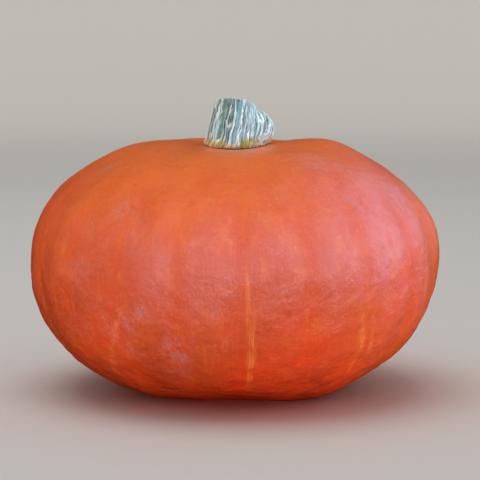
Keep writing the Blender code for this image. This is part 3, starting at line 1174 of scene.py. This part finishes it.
class SQUASH_OT_threads(bpy.types.Operator):
    """Lay loose cork fibres on the stem and thicker strands at the foot of its side lobe."""

    bl_idname = "squash.threads"
    bl_label = "Lay Fibres"

    def execute(self, context):
        shape = context.scene.squash_threads
        cork = context.scene.squash_cork
        layouts = {
            "stem_fibres": {
                "Count": shape.count, "Seed": shape.seed, "Thickness": shape.thickness,
                "First Turn": 0.0, "Turn Span": math.tau, "Low": 0.5 * UNIT,
                "Height Span": 7 * UNIT, "Length": 7.5 * UNIT, "Slant": 0.0, "Waviness": 0.02,
                "Finish": thread_material("stem_fibre", cork.frost, cork.cork),
            },
            "stem_strands": {
                "Count": shape.root_count, "Seed": shape.seed + 1,
                "Thickness": shape.root_thickness,
                "First Turn": math.radians(46), "Turn Span": math.radians(40),
                "Low": -1.2 * UNIT, "Height Span": 0.6 * UNIT, "Length": 8 * UNIT,
                "Slant": math.radians(12), "Waviness": 0.03,
                "Finish": thread_material("stem_strand", cork.umber, cork.straw),
            },
        }
        tree = thread_tree()
        for name, values in layouts.items():
            values["Ground"] = bpy.data.objects["squash_stem"]
            piece = grown(name, tree, values)
            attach(piece, "root")
            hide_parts("stem")
        return {"FINISHED"}


# Stage --------------------------------------------------------------------------------------


FRUIT_MIDDLE = Vector((0.0, 0.0, 62 * UNIT))
CAMERA_AIM = Vector((2.5 * UNIT, 0.0, 73.5 * UNIT))
CAMERA_LENS = 128.9              # millimetres, as is the sensor's width
CAMERA_SENSOR = 36.0
FLOOR_RADIUS = 2.6
FLOOR_BEND = 1.0                 # radius of the bend between the floor and the wall
WALL_TOP = 1.6
WALL_COLOUR = (0.97, 0.94, 0.89)
WALL_FADE = (1.2, 3.5)           # distances over which the floor takes on the wall's colour


class StageSettings(bpy.types.PropertyGroup):
    """Floor, lights and camera."""

    floor_colour: colour_setting(
        "Floor", "Pale colour of the floor and backdrop", (0.67, 0.655, 0.635))
    fill: FloatProperty(
        name="Fill", description="Share of the full power of the lights that light surfaces",
        default=1.0, min=0.0)
    sheen: FloatProperty(
        name="Sheen", description="Share of the full power of the panels that only shine",
        default=1.0, min=0.0)
    sky: FloatProperty(
        name="Sky", description="Strength of the even light from all round", default=0.43, min=0.0)
    camera_distance: size_setting(
        "Camera Distance", "From the fruit's middle to the camera", 850 * UNIT)
    camera_elevation: FloatProperty(
        name="Camera Elevation", description="How far the camera looks down",
        default=math.radians(7.0), subtype="ANGLE")


# Soft lights: name, place, width, height and power in watts. Only the top light also falls on
# the floor, and the strips near the floor stand for the light that a floor sends up.
FILL_LIGHTS = (
    ("left_light", (-2.1, -0.2, 0.9), 2.6, 1.6, 22.5),
    ("right_light", (2.2, -0.1, 0.7), 2.2, 1.4, 35.0),
    ("near_strip", (0.0, -0.8, 0.05), 2.4, 0.08, 5.2),
    ("far_strip", (0.0, -1.6, 0.06), 3.6, 0.1, 7.2),
    ("top_light", (-0.3, 0.0, 2.2), 1.8, 1.8, 15.7),
    ("back_light", (0.3, 2.2, 1.0), 3.0, 1.6, 36.0),
)

# Panels as blue as the sky that show only as a sheen on glossy surfaces, with the same entries.
SHEEN_PANELS = (
    ("front_sheen", (0.65, -2.3, 0.93), 3.7, 1.5, 34.0),
    ("side_sheen", (2.1, 0.35, 1.32), 3.2, 2.4, 42.0),
    ("high_sheen", (0.0, -1.6, 1.8), 3.0, 1.2, 17.0),
    ("low_sheen", (0.3, -1.9, 0.25), 3.4, 0.45, 3.5),
    ("right_sheen", (2.2, -0.5, 0.6), 2.0, 1.0, 13.0),
)
SHEEN_COLOUR = (0.42, 0.62, 1.0)


def facing_turn(place, aim):
    """Turn of a light or a camera that stands at a place and looks at its aim."""
    return (aim - place).to_track_quat("-Z", "Y").to_euler()


def soft_light(name, place, width, height, power, shines_only=False):
    """Rectangular light that faces the fruit, and that no camera sees."""
    data = bpy.data.lights.new(name, "AREA")
    data.shape = "RECTANGLE"
    data.size = width
    data.size_y = height
    data.energy = power
    made = added(name, data)
    made.location = place
    made.rotation_euler = facing_turn(made.location, FRUIT_MIDDLE)
    if shines_only:
        data.color = SHEEN_COLOUR
    made.visible_camera = False
    made.visible_diffuse = not shines_only
    made.visible_glossy = shines_only
    return made


def floor_material(colour):
    """Plain paper that is paler at the wall."""
    made, tree, shader = new_finish("stage_paper")
    away = vector_calc("LENGTH", place_in(tree))
    plug(shader["Base Color"], mixed(ramp(away, *WALL_FADE), colour, WALL_COLOUR))
    plug(shader["Roughness"], 0.9)
    plug(shader["Specular IOR Level"], 0.2)
    return made


def bowl_mesh(columns=96, steps=14):
    """Round floor whose edge curves up into a wall, as one sheet that faces inwards."""
    profile = [(FLOOR_RADIUS * share, 0.0) for share in (0.15, 0.4, 0.7)]
    for k in range(steps + 1):
        turn = math.pi / 2 * k / steps
        profile.append((FLOOR_RADIUS + FLOOR_BEND * math.sin(turn),
                        FLOOR_BEND - FLOOR_BEND * math.cos(turn)))
    profile.append((FLOOR_RADIUS + FLOOR_BEND, WALL_TOP))
    points = [(0.0, 0.0, 0.0)]
    for reach, z in profile:
        for k in range(columns):
            turn = math.tau * k / columns
            points.append((reach * math.cos(turn), reach * math.sin(turn), z))
    faces = [(0, 1 + k, 1 + (k + 1) % columns) for k in range(columns)]
    for start in range(1, len(points) - columns, columns):
        for k in range(columns):
            after = (k + 1) % columns
            faces.append((start + k, start + columns + k, start + columns + after, start + after))
    mesh = bpy.data.meshes.new("stage_bowl")
    mesh.from_pydata(points, [], faces)
    mesh.shade_smooth()
    return mesh


class SQUASH_OT_stage(bpy.types.Operator):
    """Set the floor, the lights and the camera."""

    bl_idname = "squash.stage"
    bl_label = "Set Stage"

    def execute(self, context):
        scene = context.scene
        settings = scene.squash_stage
        bowl = added("stage_bowl", bowl_mesh())
        bowl.data.materials.append(floor_material(settings.floor_colour))
        bowl.visible_glossy = False

        squash = bpy.data.collections.new("squash_pieces")
        for each in scene.objects:
            if each.name.startswith(("squash_", "stem_")):
                squash.objects.link(each)
        for *layout, power in FILL_LIGHTS:
            light = soft_light(*layout, power * settings.fill)
            if light.name != "top_light":
                light.light_linking.receiver_collection = squash
        for *layout, power in SHEEN_PANELS:
            light = soft_light(*layout, power * settings.sheen, shines_only=True)
            light.light_linking.receiver_collection = squash

        world = bpy.data.worlds.new("studio_world")
        world.use_nodes = True
        backdrop = world.node_tree.nodes["Background"].inputs
        plug(backdrop["Color"], (1.0, 1.0, 1.0, 1.0))
        plug(backdrop["Strength"], settings.sky)
        world.cycles_visibility.glossy = False
        scene.world = world
        scene.view_settings.view_transform = "Standard"
        scene.view_settings.look = "Medium High Contrast"

        data = bpy.data.cameras.new("camera")
        data.sensor_width = CAMERA_SENSOR
        data.lens = CAMERA_LENS
        data.dof.use_dof = False
        look = direction(0, math.degrees(settings.camera_elevation))
        scene.camera = added("camera", data)
        scene.camera.location = FRUIT_MIDDLE + look * settings.camera_distance
        scene.camera.rotation_euler = facing_turn(scene.camera.location, CAMERA_AIM)
        return {"FINISHED"}


class SQUASH_PT_panel(bpy.types.Panel):
    """Lists the steps that build the squash."""

    bl_idname = "SQUASH_PT_panel"
    bl_label = "Squash"
    bl_space_type = "VIEW_3D"
    bl_region_type = "UI"
    bl_category = "Squash"

    def draw(self, context):
        for step in STEPS:
            self.layout.operator(step.bl_idname)


STEPS = (SQUASH_OT_fruit, SQUASH_OT_stem, SQUASH_OT_threads, SQUASH_OT_stage)
GROUPS = {
    "squash_fruit": FruitShape,
    "squash_skin": SkinFinish,
    "squash_stem": StemShape,
    "squash_cork": CorkFinish,
    "squash_threads": ThreadShape,
    "squash_stage": StageSettings,
}
CLASSES = (*GROUPS.values(), *STEPS, SQUASH_PT_panel)


def register():
    for each in CLASSES:
        bpy.utils.register_class(each)
    for name, group in GROUPS.items():
        setattr(bpy.types.Scene, name, PointerProperty(type=group))


def unregister():
    for name in GROUPS:
        delattr(bpy.types.Scene, name)
    for each in reversed(CLASSES):
        bpy.utils.unregister_class(each)


def main():
    register()
    bpy.ops.squash.fruit()
    bpy.ops.squash.stem()
    bpy.ops.squash.threads()
    bpy.ops.squash.stage()


if __name__ == "__main__":
    main()
